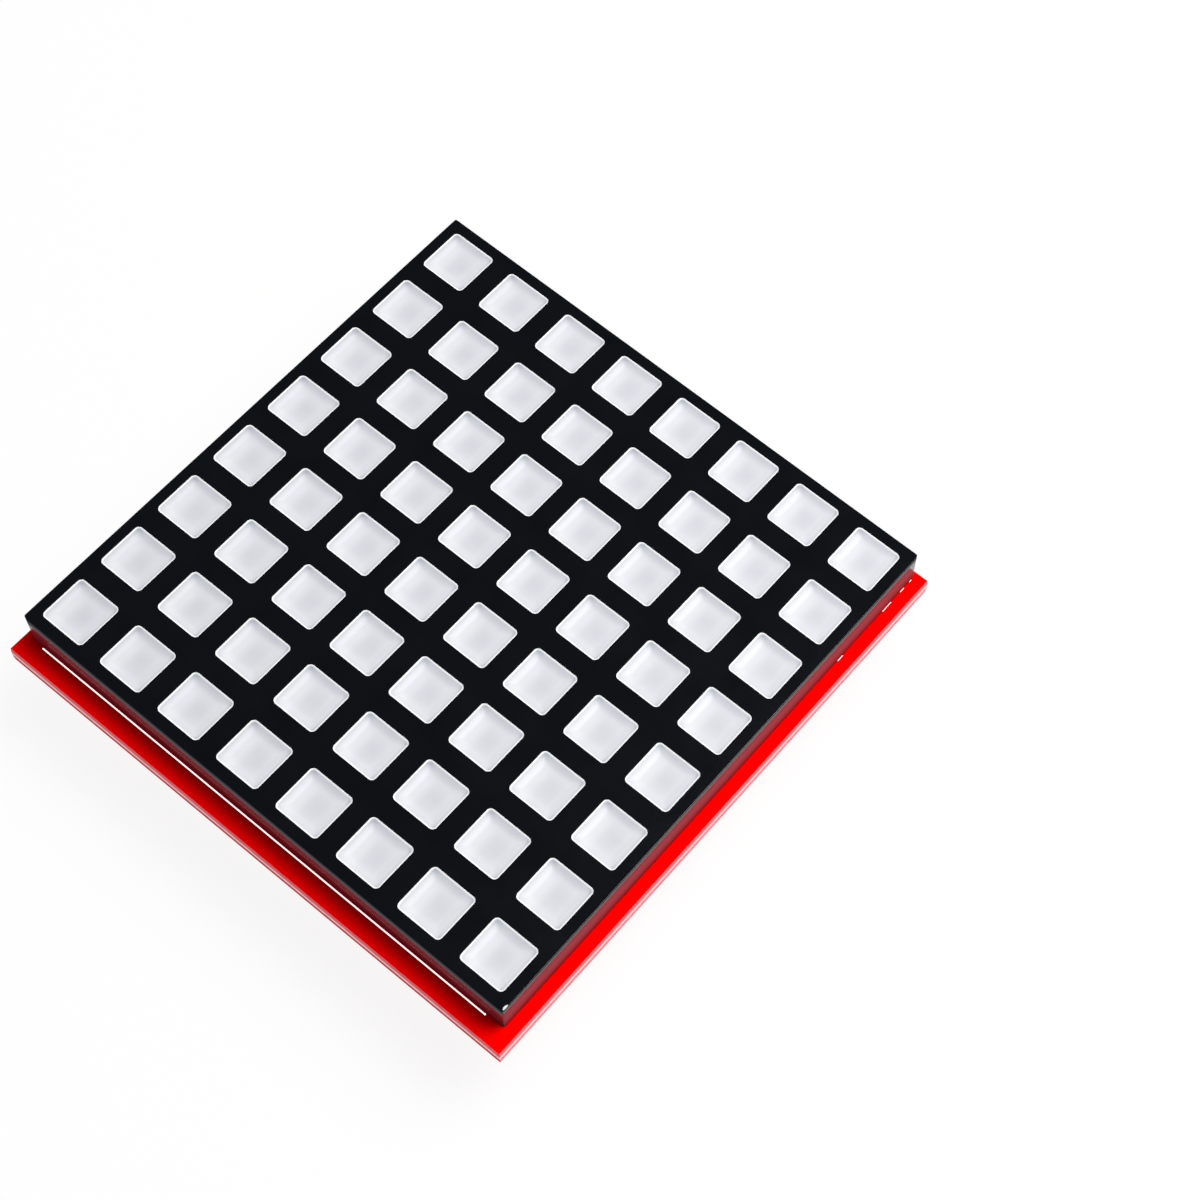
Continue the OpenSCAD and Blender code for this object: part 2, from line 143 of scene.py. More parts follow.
# ---- node graphs ----
class Graph:
    """Short calls that add nodes to the tree of one material or world."""

    SOCKETS = {"color": "Base Color", "roughness": "Roughness", "metallic": "Metallic",
               "specular": "Specular IOR Level", "normal": "Normal",
               "glow": "Emission Color", "glow_strength": "Emission Strength"}

    def __init__(self, owner):
        owner.use_nodes = True
        self.tree = owner.node_tree
        self.tree.nodes.clear()

    def put(self, node, key, value):
        if isinstance(value, bpy.types.Node):
            value = value.outputs[0]
        if isinstance(value, bpy.types.NodeSocket):
            self.tree.links.new(value, node.inputs[key])
        else:
            node.inputs[key].default_value = value

    def add(self, kind, inputs=(), **settings):
        node = self.tree.nodes.new("ShaderNode" + kind)
        for key, value in settings.items():
            setattr(node, key, value)
        for key, value in dict(inputs).items():
            self.put(node, key, value)
        return node

    def math(self, operation, *values, clamp=False):
        return self.add("Math", enumerate(values), operation=operation, use_clamp=clamp).outputs[0]

    def times(self, first, *others):
        for other in others:
            first = self.math("MULTIPLY", first, other)
        return first

    def vector(self, operation, *values):
        return self.add("VectorMath", enumerate(values), operation=operation).outputs[0]

    def blend(self, factor, a, b):
        """The number a where the factor is 0, and b where it is 1."""
        return self.math("MULTIPLY_ADD", factor, self.math("SUBTRACT", b, a), a)

    def mix(self, factor, a, b):
        """The colour a where the factor is 0, and b where it is 1."""
        return self.add("Mix", {0: factor, 6: a, 7: b}, data_type="RGBA").outputs[2]

    def smooth(self, value, low, high):
        """0 at low, 1 at high, and a soft step between them."""
        ends = {0: value, 1: low, 2: high}
        return self.add("MapRange", ends, interpolation_type="SMOOTHSTEP").outputs[0]

    def band(self, value, low, high, blur):
        """1 between low and high, fading over blur on either side."""
        return self.times(self.smooth(value, low - blur, low + blur),
                          self.smooth(value, high + blur, high - blur))

    def spot(self):
        """The shaded point, in metres in the shared frame."""
        return self.add("TexCoord").outputs["Object"]

    def place(self):
        """The X, Y and Z of the shaded point."""
        return self.add("SeparateXYZ", {0: self.spot()}).outputs

    def noise(self, scale, detail=2.0, stretch=(1, 1, 1)):
        mapped = self.add("Mapping", {"Vector": self.spot(), "Scale": stretch})
        return self.add("TexNoise", {"Vector": mapped, "Scale": scale, "Detail": detail}).outputs[0]

    def facing(self):
        """The X, Y and Z of the surface's own direction."""
        return self.add("SeparateXYZ", {0: self.add("NewGeometry").outputs["Normal"]}).outputs

    def upright(self, level, steep):
        """0 on level faces and 1 on walls."""
        return self.smooth(self.math("ABSOLUTE", self.facing()[2]), level, steep)

    def front(self):
        """1 on what faces the front, along -Y."""
        return self.smooth(self.facing()[1], -0.5, -0.8)

    def right(self):
        """1 on what faces the right, along X."""
        return self.smooth(self.facing()[0], 0.5, 0.8)

    def bump(self, height, depth, strength=1.0, under=None):
        node = self.add("Bump", {"Height": height, "Strength": strength, "Distance": depth})
        if under is not None:
            self.put(node, "Normal", under)
        return node.outputs[0]

    def surface(self, **inputs):
        shader = self.add("BsdfPrincipled", {self.SOCKETS[k]: v for k, v in inputs.items()})
        self.add("OutputMaterial", {"Surface": shader})


def screen(red, green, blue):
    """The linear colour of one that is given as a screen shows it, from 0 to 255."""
    def one(value):
        value /= 255
        return value / 12.92 if value <= 0.04045 else ((value + 0.055) / 1.055) ** 2.4
    return (one(red), one(green), one(blue), 1)


def shaded(color, factor):
    return (*(min(1, c * factor) for c in color[:3]), 1)


def new_material(name):
    material = bpy.data.materials.new(name)
    return material, Graph(material)


# ---- stage ----
WHITE = (1, 1, 1, 1)
KEY_DIRECTION = (0.3, 0.38, 1)
KEY_DISTANCE = 0.7
KEY_SIZE = 0.42
KEY_POWER = 5.9
WORLD_LIGHT = 0.16
CEILING_IN_GLOSS = 0.08
HORIZON_IN_GLOSS = 1.5
CEILING_RISE = (0.2, 0.7)
GLOSS_TINT = (0.8, 0.93, 1.1, 1)
FLOOR_SIZE = 4
FLOOR_GAP = 0.02 * MM
FLOOR_PAPER = (0.9, 0.9, 0.9, 1)
FLOOR_GLOW = 0.9


def add_key():
    data = bpy.data.lights.new("key", "AREA")
    data.shape = "SQUARE"
    data.size = KEY_SIZE
    data.energy = KEY_POWER
    light = bpy.data.objects.new("key", data)
    bpy.context.collection.objects.link(light)
    direction = Vector(KEY_DIRECTION).normalized()
    light.location = MIDDLE + direction * KEY_DISTANCE
    light.rotation_euler = (-direction).to_track_quat("-Z", "Y").to_euler()


def add_world():
    """A plain room: white where it is seen, soft where it lights, with a darker ceiling in gloss."""
    world = bpy.data.worlds.new("studio")
    bpy.context.scene.world = world
    g = Graph(world)
    path = g.add("LightPath").outputs
    up = g.add("SeparateXYZ", {0: g.add("TexCoord").outputs["Generated"]}).outputs[2]
    in_gloss = g.blend(g.smooth(up, *CEILING_RISE), HORIZON_IN_GLOSS, CEILING_IN_GLOSS)
    lit = g.blend(path["Is Glossy Ray"], WORLD_LIGHT, in_gloss)
    seen = g.math("MAXIMUM", path["Is Camera Ray"], path["Is Transmission Ray"])
    color = g.mix(path["Is Glossy Ray"], WHITE, GLOSS_TINT)
    back = g.add("Background", {"Color": color, "Strength": g.blend(seen, lit, 1)})
    g.add("OutputWorld", {"Surface": back})


def add_floor():
    """White paper that is clear from below."""
    bpy.ops.mesh.primitive_plane_add(size=FLOOR_SIZE, location=(0, 0, cad_box[0][2] - FLOOR_GAP))
    floor = bpy.context.object
    floor.name = "floor"
    material, g = new_material("floor_paper")
    seen = g.add("LightPath").outputs["Is Camera Ray"]
    paper = g.add("BsdfDiffuse", {"Color": FLOOR_PAPER})
    glow = g.add("Emission", {"Color": WHITE, "Strength": 1.0})
    lit = g.add("MixShader", {0: g.times(seen, FLOOR_GLOW), 1: paper, 2: glow})
    from_below = g.add("NewGeometry").outputs["Backfacing"]
    both = g.add("MixShader", {0: from_below, 1: lit, 2: g.add("BsdfTransparent")})
    g.add("OutputMaterial", {"Surface": both})
    floor.data.materials.append(material)


def add_stage():
    add_world()
    add_key()
    add_floor()
    bpy.context.scene.view_settings.view_transform = "Standard"


# ---- the frame's black plastic ----
CLOUD_SCALE = 260
FINE_SCALE = 9000
FINE_DEPTH = 0.0002 * MM
FACE_BLACK = (screen(3, 5, 8), screen(12, 14, 18))
WALL_BLACK = (screen(2, 3, 4), screen(7, 8, 11))
PLASTIC_ROUGH = (0.08, 0.13)
WALL_ROUGHER = 0.04
PLASTIC_SHINE = 0.5

# A painted glint: a pale patch on the near corner's top edge stands in for a highlight, with its
# reach, noise, raggedness and fade
GLINT_WHITE = screen(240, 242, 245)
GLINT_REACH = Vector((0.24, 0.42, 0.2)) * MM
GLINT_SCALE = 5000
GLINT_RAGGED = 0.3
GLINT_FADE = (1.15, 0.75)

# Depths below the frame's face: how far the walls round over, where a painted glow stands in for light
# from the board and the room reflected on them (from, to and blur), and where that painted light
# changes toward the foot
SHOULDER = 1.6 * MM
BOUNCE_BAND = (1.2 * MM, 4.4 * MM, 0.6 * MM)
ROOM_REFLECTION_BAND = (0.9 * MM, 3.6 * MM, 1.2 * MM)
REDDENING = (1.4 * MM, 3.0 * MM)
WALL_FOOT = (2.4 * MM, 3.2 * MM)

# The round-over's depth as a bump, and its power and strength on the front wall and the right one
ROUND_OVER = 1.5 * MM
ROUND_POWER = (2, 7)
ROUND_STRENGTH = (1, 0.6)

# Painted reflections as a glow: the board's red on the front wall, redder toward its foot, and the
# room's pale blue on the right wall
BOUNCE_HIGH = screen(255, 150, 165)
BOUNCE_LOW = screen(255, 60, 76)
ROOM_REFLECTION = screen(205, 230, 255)
BOUNCE_GLOW = 0.08
FOOT_GLOW = 0.11
ROOM_REFLECTION_GLOW = 0.06


def near_glint(g):
    """1 on the small painted glint at the frame's near corner, a painted highlight with a ragged edge.
    """
    corner = (FRAME_HIGH.x, FRAME_LOW.y + GLINT_REACH.y, FACE_Z)
    offset = g.vector("SUBTRACT", g.spot(), corner)
    scaled = g.vector("MULTIPLY", offset, [1 / r for r in GLINT_REACH])
    away = g.add("VectorMath", {0: scaled}, operation="LENGTH").outputs["Value"]
    ragged = g.math("MULTIPLY_ADD", g.noise(GLINT_SCALE, 1), GLINT_RAGGED, away)
    return g.smooth(ragged, *GLINT_FADE)


def round_over(g, side, right, depth):
    """A bump that rolls the walls over at the top, the right one less and nearer its edge."""
    up = g.math("SUBTRACT", 1, g.math("DIVIDE", depth, SHOULDER), clamp=True)
    course = g.math("POWER", up, g.blend(right, *ROUND_POWER))
    return g.bump(g.times(course, side, g.blend(right, *ROUND_STRENGTH), -1), ROUND_OVER)


def frame_black():
    """Moulded plastic: a glossy face, walls that round over at the top, a painted glow that stands in
    for reflections on the walls, and a painted glint at the near corner.
    """
    material, g = new_material("frame_black")
    cloud = g.noise(CLOUD_SCALE, 3)
    side = g.upright(0.9, 0.6)
    front = g.front()
    right = g.right()
    depth = g.math("SUBTRACT", FACE_Z, g.place()[2])
    plain = g.mix(side, g.mix(cloud, *FACE_BLACK), g.mix(cloud, *WALL_BLACK))
    rough = g.math("MULTIPLY_ADD", side, WALL_ROUGHER, g.blend(cloud, *PLASTIC_ROUGH))
    foot = g.times(front, g.smooth(depth, *WALL_FOOT))
    # Painted reflection of the board on the front wall and of the room on the right wall, as a glow
    bounce = g.times(front, g.band(depth, *BOUNCE_BAND), g.blend(foot, BOUNCE_GLOW, FOOT_GLOW))
    room_reflection = g.times(right, g.band(depth, *ROOM_REFLECTION_BAND), ROOM_REFLECTION_GLOW)
    bounce_color = g.mix(g.smooth(depth, *REDDENING), BOUNCE_HIGH, BOUNCE_LOW)
    fine = g.noise(FINE_SCALE, 2)
    # The near corner's pale patch is a painted highlight, and the glow is painted reflection
    g.surface(color=g.mix(near_glint(g), plain, GLINT_WHITE), roughness=rough,
              specular=g.blend(foot, PLASTIC_SHINE, 0),
              glow=g.mix(right, bounce_color, ROOM_REFLECTION), glow_strength=g.math("MAXIMUM", bounce, room_reflection),
              normal=g.bump(fine, FINE_DEPTH, under=round_over(g, side, right, depth)))
    return material


# ---- the resin and the board ----
MILK = (screen(168, 173, 183), screen(226, 227, 231))
CUP_WHITE = screen(253, 253, 253)
MILK_SCALE = 700
MILK_CLOUD = 0.05
GRAIN_SCALE = 3000
RESIN_GRAIN = 0.0005 * MM


def dot_resin():
    """Milky cast resin, made darker and cooler in places by painted light and shade, in the white edge
    of its cup.
    """
    material, g = new_material("dot_resin")
    edge = g.add("Attribute", attribute_name="edge").outputs["Fac"]
    # The light attribute holds painted light and shade, together with the dice's shade
    light = g.add("Attribute", attribute_name="light").outputs["Fac"]
    cloud = g.blend(g.noise(MILK_SCALE, 2), -MILK_CLOUD, MILK_CLOUD)
    milk = g.mix(g.math("ADD", light, cloud), *MILK)
    g.surface(color=g.mix(edge, milk, CUP_WHITE), roughness=0.35, specular=0.3,
              normal=g.bump(g.noise(GRAIN_SCALE, 2), RESIN_GRAIN))
    return material


MASK_RED = (screen(250, 0, 0), screen(255, 1, 1))
PEEL_SCALE = 900
PEEL_DEPTH = 0.0015 * MM
MASK_ROUGH = 0.1

# The bare edge, with heights as shares of the board's thickness
EDGE_FOOT = screen(238, 142, 148)
# Painted shade: the edge's foot is darker on the front side, which lies in shadow
EDGE_FRONT_FOOT_PAINTED_SHADE = screen(190, 28, 32)
EDGE_MIDDLE = screen(240, 132, 138)
EDGE_TOP = screen(226, 112, 118)
EDGE_SCORE = screen(255, 222, 226)
EDGE_STREAK = screen(240, 140, 146)
FOOT_RISE = (0.2, 0.5)
TOP_RISE = (0.6, 0.85)
SCORE_BAND = (0.46, 0.66, 0.1)
FIBRE_SCALE = 1500
FIBRE_DEPTH = 0.01 * MM
STREAK_RISE = (0.35, 0.75)
STREAK_SHARE = 0.2
# A painted glow that brightens the bare edge
EDGE_PAINTED_GLOW = 0.2
EDGE_ROUGH = 0.4


def board_red():
    """Solder mask on the two faces and bare scored laminate round the edge, with painted shade on the
    edge's foot at the front and a painted glow over the edge.
    """
    material, g = new_material("board_red")
    side = g.upright(0.8, 0.5)
    mask = g.mix(g.noise(CLOUD_SCALE, 3), *MASK_RED)
    rise = g.math("SUBTRACT", g.place()[2], BOARD_LOW.z)
    height = g.math("DIVIDE", rise, BOARD_HIGH.z - BOARD_LOW.z)
    foot = g.mix(g.front(), EDGE_FOOT, EDGE_FRONT_FOOT_PAINTED_SHADE)
    lower = g.mix(g.smooth(height, *FOOT_RISE), foot, EDGE_MIDDLE)
    upper = g.mix(g.smooth(height, *TOP_RISE), lower, EDGE_TOP)
    scored = g.mix(g.band(height, *SCORE_BAND), upper, EDGE_SCORE)
    fibre = g.noise(FIBRE_SCALE, 4, stretch=(1, 1, 7))
    streaks = g.times(g.smooth(fibre, *STREAK_RISE), STREAK_SHARE)
    color = g.mix(side, mask, g.mix(streaks, scored, EDGE_STREAK))
    peel = g.bump(g.noise(PEEL_SCALE, 2), PEEL_DEPTH)
    g.surface(color=color, roughness=g.blend(side, MASK_ROUGH, EDGE_ROUGH), specular=0.0,
              glow=color, glow_strength=g.times(side, EDGE_PAINTED_GLOW),
              normal=g.bump(fibre, FIBRE_DEPTH, side, peel))
    return material


# ---- plain finishes ----
GRAIN_DEPTH = 0.002 * MM
PART_SPREAD = 0.12

# Each material, its colour on a screen, its roughness, whether it is metal, and its nodes
FINISHES = (
    ("inner_board", (225, 225, 215), 0.5, 0.0, ["led_board"]),
    ("seal_resin", (205, 206, 200), 0.35, 0.0, ["back_seal"]),
    ("die_red", (190, 60, 45), 0.2, 0.0, ["red_dies"]),
    ("die_green", (80, 180, 90), 0.2, 0.0, ["green_dies"]),
    ("die_blue", (70, 110, 205), 0.2, 0.0, ["blue_dies"]),
    ("tinned_wire", (214, 214, 210), 0.25, 1.0, ["display_pins_front", "display_pins_back"]),
    ("solder", (222, 222, 226), 0.2, 1.0, ["pin_solder"]),
    ("chip_black", (38, 38, 41), 0.55, 0.0,
     ["row_transistors", *numbered("shift_register", REGISTERS)]),
    ("tinned_lead", (214, 214, 210), 0.35, 1.0,
     ["transistor_leads", *numbered("register_leads", REGISTERS)]),
    ("resistor_black", (24, 24, 27), 0.3, 0.0, ["column_resistors", "base_resistors"]),
    ("capacitor_tan", (176, 148, 112), 0.5, 0.0, ["bypass_capacitors", "bulk_capacitor"]),
    ("chip_end", (218, 218, 220), 0.3, 1.0,
     ["column_resistor_ends", "base_resistor_ends", "bypass_capacitor_ends", "bulk_capacitor_ends"]),
    ("header_black", (26, 26, 28), 0.4, 0.0, ["input_header_base", "output_header_base"]),
    ("gold_pin", (236, 200, 118), 0.22, 1.0, ["input_header_pins", "output_header_pins"]),
)


def grained(name, color, roughness, metallic=0.0, spread=PART_SPREAD, glow=0.0):
    """A surface of one colour with fine grain in its shade, gloss and relief."""
    material, g = new_material(name)
    plain = screen(*color)
    grain = g.noise(GRAIN_SCALE, 3)
    tint = g.mix(grain, shaded(plain, 1 - spread), shaded(plain, 1 + spread))
    rough = g.math("MULTIPLY_ADD", grain, spread, roughness - spread / 2)
    g.surface(color=tint, roughness=rough, metallic=metallic, glow=plain, glow_strength=glow,
              normal=g.bump(grain, GRAIN_DEPTH))
    return material


def dress(material, *nodes):
    for node in nodes:
        thing = NODES[node]
        if not thing.material_slots:
            thing.data.materials.append(material)
        for slot in thing.material_slots:
            slot.material = material


# ---- pieces ----
SHARP_ANGLE = math.radians(38)


def add_piece(name, points, faces, material, smooth=False):
    mesh = bpy.data.meshes.new(name)
    mesh.from_pydata([tuple(p) for p in points], [], faces)
    mesh.validate()
    mesh.update()
    mesh.materials.append(material)
    if smooth:
        mesh.shade_smooth()
        mesh.set_sharp_from_angle(angle=SHARP_ANGLE)
    piece = bpy.data.objects.new(name, mesh)
    bpy.context.collection.objects.link(piece)
    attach(piece, "root")
    return piece


# ---- resin dots, from the cup's wall in ----
DOT_CORNER = 0.5 * MM
CROWN_CORNER = 0.425 * MM
INNER_CORNER = 0.35 * MM
DISH_ROUNDING = 0.6
CUP_BASE_CORNER = 0.125 * MM
CORNER_STEPS = 6
SIDE_STEPS = 8
CUP_LIP = 0.8 * MM
CUP_BASE_HALF = 1.8 * MM
RIM_WIDTH = 0.08 * MM
RIM_CROWN = 0.02 * MM
SLOPE_WIDTH = 1.1 * MM
SLOPE_DROP = 0.16 * MM
SLOPE_STEPS = 8
FLOOR_STEPS = 6
FLOOR_DROP = 0.03 * MM
INNER_HALF = DOT_HALF - RIM_WIDTH

# The resin's lightness, and the shade of the dice in it
PLAIN_LIGHT = 0.71
DICE_SHADE = 0.14
DICE_PLACE = Vector((0.45, -0.1)) * MM
DICE_REACH = 1.8 * MM

# Painted light and shade in the resin, each with its strength and then its places and reaches in mm
# from the rim's
# inner sides: painted highlight strips, as of the lit cup wall, that fade toward one end, a painted
# pale patch at the front, and painted shade along three sides and in three corners
PAINTED_HIGHLIGHT_STRIPS = (("left", 0.2, 1.25, 1.2, "back", 2.2), ("right", 0.13, 0.5, 1.2, "front", 1.4))
PAINTED_PALE_PATCH = (0.08, 0.3, 1.5, 4, 4.2)
PAINTED_SIDE_SHADES = (("left", 0.22, 0.75), ("back", 0.35, 1.0), ("right", 0.45, 0.4))
PAINTED_CORNER_SHADES = (("left", "back", 0.45, 1.3), ("right", "back", 0.38, 0.9),
                 ("right", "front", 0.5, 0.7))


def fall(distance, reach):
    """1 at no distance and 0 from reach on, with a soft course between."""
    near = 1 - min(1, abs(distance) / reach)
    return near * near * (3 - 2 * near)


def lightness(p):
    """How light the resin is painted at one point of a dot, from 0 to 1: the dice's shade, and painted
    light and shade.
    """
    across = {"left": p.x, "right": -p.x, "front": p.y, "back": -p.y}
    away = {side: (INNER_HALF + d) / MM for side, d in across.items()}
    light = PLAIN_LIGHT - DICE_SHADE * fall((p - DICE_PLACE).length, DICE_REACH)
    for side, gain, place, reach, end, fade in PAINTED_HIGHLIGHT_STRIPS:
        light += gain * fall(away[side] - place, reach) * (1 - fall(away[end], fade))
    gain, front, front_reach, right, right_reach = PAINTED_PALE_PATCH
    light += gain * fall(away["front"] - front, front_reach) * fall(away["right"] - right, right_reach)
    for side, shade, reach in PAINTED_SIDE_SHADES:
        light -= shade * fall(away[side], reach)
    for side, end, shade, reach in PAINTED_CORNER_SHADES:
        light -= shade * fall(math.hypot(away[side], away[end]), reach)
    return max(0, light)


def round_square(half, radius):
    """Points of a square outline with round corners, the same number whatever its size."""
    ring = []
    for quarter in range(4):
        turn = Matrix.Rotation(quarter * math.pi / 2, 2)
        for i in range(SIDE_STEPS):
            along = -1 + 2 * i / SIDE_STEPS
            ring.append(turn @ Vector((half, along * (half - radius))))
        for i in range(CORNER_STEPS):
            angle = math.pi / 2 * i / CORNER_STEPS
            ring.append(turn @ Vector((half - radius + radius * math.cos(angle),
                                       half - radius + radius * math.sin(angle))))
    return ring


def dot_rings():
    """Half width, corner radius, height and edge of each outline: from a dot's foot up its wall,
    over the rim and in over the dish."""
    yield CUP_BASE_HALF, CUP_BASE_CORNER, CUP_FLOOR, 0
    yield DOT_HALF, DOT_CORNER, FACE_Z - CUP_LIP, 0
    yield DOT_HALF, DOT_CORNER, RESIN_RIM - RIM_CROWN, 1
    yield (DOT_HALF + INNER_HALF) / 2, CROWN_CORNER, RESIN_RIM, 1
    yield INNER_HALF, INNER_CORNER, RESIN_RIM - RIM_CROWN, 1
    floor_width = INNER_HALF - SLOPE_WIDTH
    slope = [SLOPE_WIDTH * i / SLOPE_STEPS for i in range(1, SLOPE_STEPS + 1)]
    floor = [SLOPE_WIDTH + floor_width * i / FLOOR_STEPS for i in range(1, FLOOR_STEPS)]
    for inward in slope + floor:
        half = INNER_HALF - inward
        drop = SLOPE_DROP * (1 - fall(inward, SLOPE_WIDTH)) + FLOOR_DROP * inward / INNER_HALF
        yield half, min(DOT_CORNER, half) * DISH_ROUNDING, RESIN_RIM - RIM_CROWN - drop, 0


class Dot:
    """One dot round its own middle: its points, its faces, and each point's edge and painted light and
    shade.
    """

    def __init__(self):
        self.points, self.edge = [], []
        for half, radius, z, edge in dot_rings():
            outline = round_square(half, radius)
            self.points += [(p, z) for p in outline]
            self.edge += [edge] * len(outline)
        around = len(outline)
        last = len(self.points) - around
        self.points.append((Vector((0, 0)), z))
        self.edge.append(0)
        self.light = [lightness(p) for p, z in self.points]
        self.faces = [tuple(reversed(range(around)))]
        for a in range(0, last, around):
            for i in range(around):
                j = (i + 1) % around
                self.faces.append((a + i, a + j, a + around + j, a + around + i))
        self.faces += [(last + i, last + (i + 1) % around, last + around) for i in range(around)]


def add_dots(row, dot, material):
    low, high = corners(f"window_row_{row}")
    middle_y = (low.y + high.y) / 2
    points, faces = [], []
    for column in range(COLUMNS):
        middle = Vector((MIDDLE.x + (column - (COLUMNS - 1) / 2) * PITCH, middle_y))
        first = len(points)
        points += [(middle.x + p.x, middle.y + p.y, z) for p, z in dot.points]
        faces += [tuple(first + i for i in face) for face in dot.faces]
    piece = add_piece(f"resin_dots_{row}", points, faces, material, smooth=True)
    for name, values in (("edge", dot.edge), ("light", dot.light)):
        layer = piece.data.attributes.new(name, "FLOAT", "POINT")
        layer.data.foreach_set("value", values * COLUMNS)
    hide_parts(f"window_row_{row}")


# ---- flat work on the driver board ----
class Shape:
    """Closed blocks gathered into one mesh, with sizes in the frame's metres."""

    def __init__(self):
        self.points, self.faces = [], []

    def loft(self, low, z_low, high, z_high):
        """The block between one outline and another of as many points."""
        first, count = len(self.points), len(low)
        self.points += [(p[0], p[1], z_low) for p in low] + [(p[0], p[1], z_high) for p in high]
        self.faces.append([first + i for i in reversed(range(count))])
        self.faces.append([first + count + i for i in range(count)])
        for i in range(count):
            j = (i + 1) % count
            self.faces.append((first + i, first + j, first + count + j, first + count + i))

    def slab(self, x0, y0, x1, y1, z0, z1):
        outline = [(x0, y0), (x1, y0), (x1, y1), (x0, y1)]
        self.loft(outline, z0, outline, z1)

    def disc(self, middle, radius, z0, z1, sides=24):
        turns = [2 * math.pi * i / sides for i in range(sides)]
        outline = [(middle.x + radius * math.cos(t), middle.y + radius * math.sin(t)) for t in turns]
        self.loft(outline, z0, outline, z1)

    def track(self, route, width, z0, z1):
        """A line of one width along a route, round at each of its points."""
        for a, b in zip(route, route[1:]):
            side = (b - a).orthogonal().normalized() * (width / 2)
            outline = [a + side, a - side, b - side, b + side]
            self.loft(outline, z0, outline, z1)
        for p in route:
            self.disc(p, width / 2, z0, z1, 10)


# Heights that the work stands out of the board
PAD_T = 0.03 * MM
TRACK_T = 0.018 * MM
PRINT_T = 0.012 * MM
FILLET_RISE = 0.3 * MM
LOW_FILLET_RISE = 0.21 * MM
TALL_FILLET_RISE = 0.45 * MM

# How far pads and solder lie past the metal: beyond its tip and beside it
PAD_OUT = 0.35 * MM
PAD_BESIDE = 0.12 * MM
SOLDER_OUT = PAD_OUT * 0.85
SOLDER_BESIDE = PAD_BESIDE * 0.7
SOLDER_AT_TOP = PAD_BESIDE / 4
PAD_RADIUS = 1.0 * MM

# How much of each end lies on its pad
REGISTER_FOOT = 0.7 * MM
TRANSISTOR_FOOT = 0.4 * MM
CHIP_FOOT = 0.3 * MM
HEADER_FOOT = 1.3 * MM

TRACK_W = 0.18 * MM
RAIL_W = 0.8 * MM
ROW_RAIL_W = 0.4 * MM
ROW_RAIL_OUT = 0.9 * MM
LANE_STEP = 0.27 * MM
VIA_RING = 0.32 * MM
VIA_HOLE = 0.17 * MM
COLUMN_VIA_OUT = 0.7 * MM
COLUMN_VIA_STEP = 0.75 * MM
ROW_VIA_BESIDE = Vector((0.5, -0.1)) * MM

# Printed outlines: how far they lie beside and beyond each part, and the dots at first leads
OUTLINE_W = 0.15 * MM
HEADER_OUTLINE = (0.4 * MM, 0.4 * MM)
REGISTER_OUTLINE = (0.45 * MM, 1.75 * MM)
CAPACITOR_OUTLINE = (0.35 * MM, 0.7 * MM)
PRINT_DOT = 0.25 * MM
HEADER_DOT = Vector((-0.4, -1.1)) * MM
REGISTER_DOT = Vector((-1, -1.4)) * MM


def nearest(boxes, box):
    place = middle_of(box).xy
    return min(boxes, key=lambda other: (middle_of(other).xy - place).length)


class Foot:
    """The soldered end of one lead or chip, which points away from its body along Y."""

    def __init__(self, box, body, length):
        low, high = box
        self.out = 1 if middle_of(box).y > middle_of(body).y else -1
        self.x = middle_of(box).x
        self.tip = high.y if self.out > 0 else low.y
        self.half = (high.x - low.x) / 2
        self.length = length

    def outline(self, beside, beyond):
        ends = sorted((self.tip + self.out * beyond, self.tip - self.out * self.length))
        x0, x1 = self.x - self.half - beside, self.x + self.half + beside
        return [(x0, ends[0]), (x1, ends[0]), (x1, ends[1]), (x0, ends[1])]

    def start(self):
        """Where a track leaves the pad."""
        return Vector((self.x, self.tip + self.out * PAD_OUT / 2))


def feet(node, bodies, length):
    boxes = [box for body in bodies for box in loose_parts(body)]
    found = [Foot(box, nearest(boxes, box), length) for box in loose_parts(node)]
    return sorted(found, key=lambda foot: (foot.x, foot.tip))


def facing_back(found):
    return [foot for foot in found if foot.out > 0]


def facing_front(found):
    return [foot for foot in found if foot.out < 0]


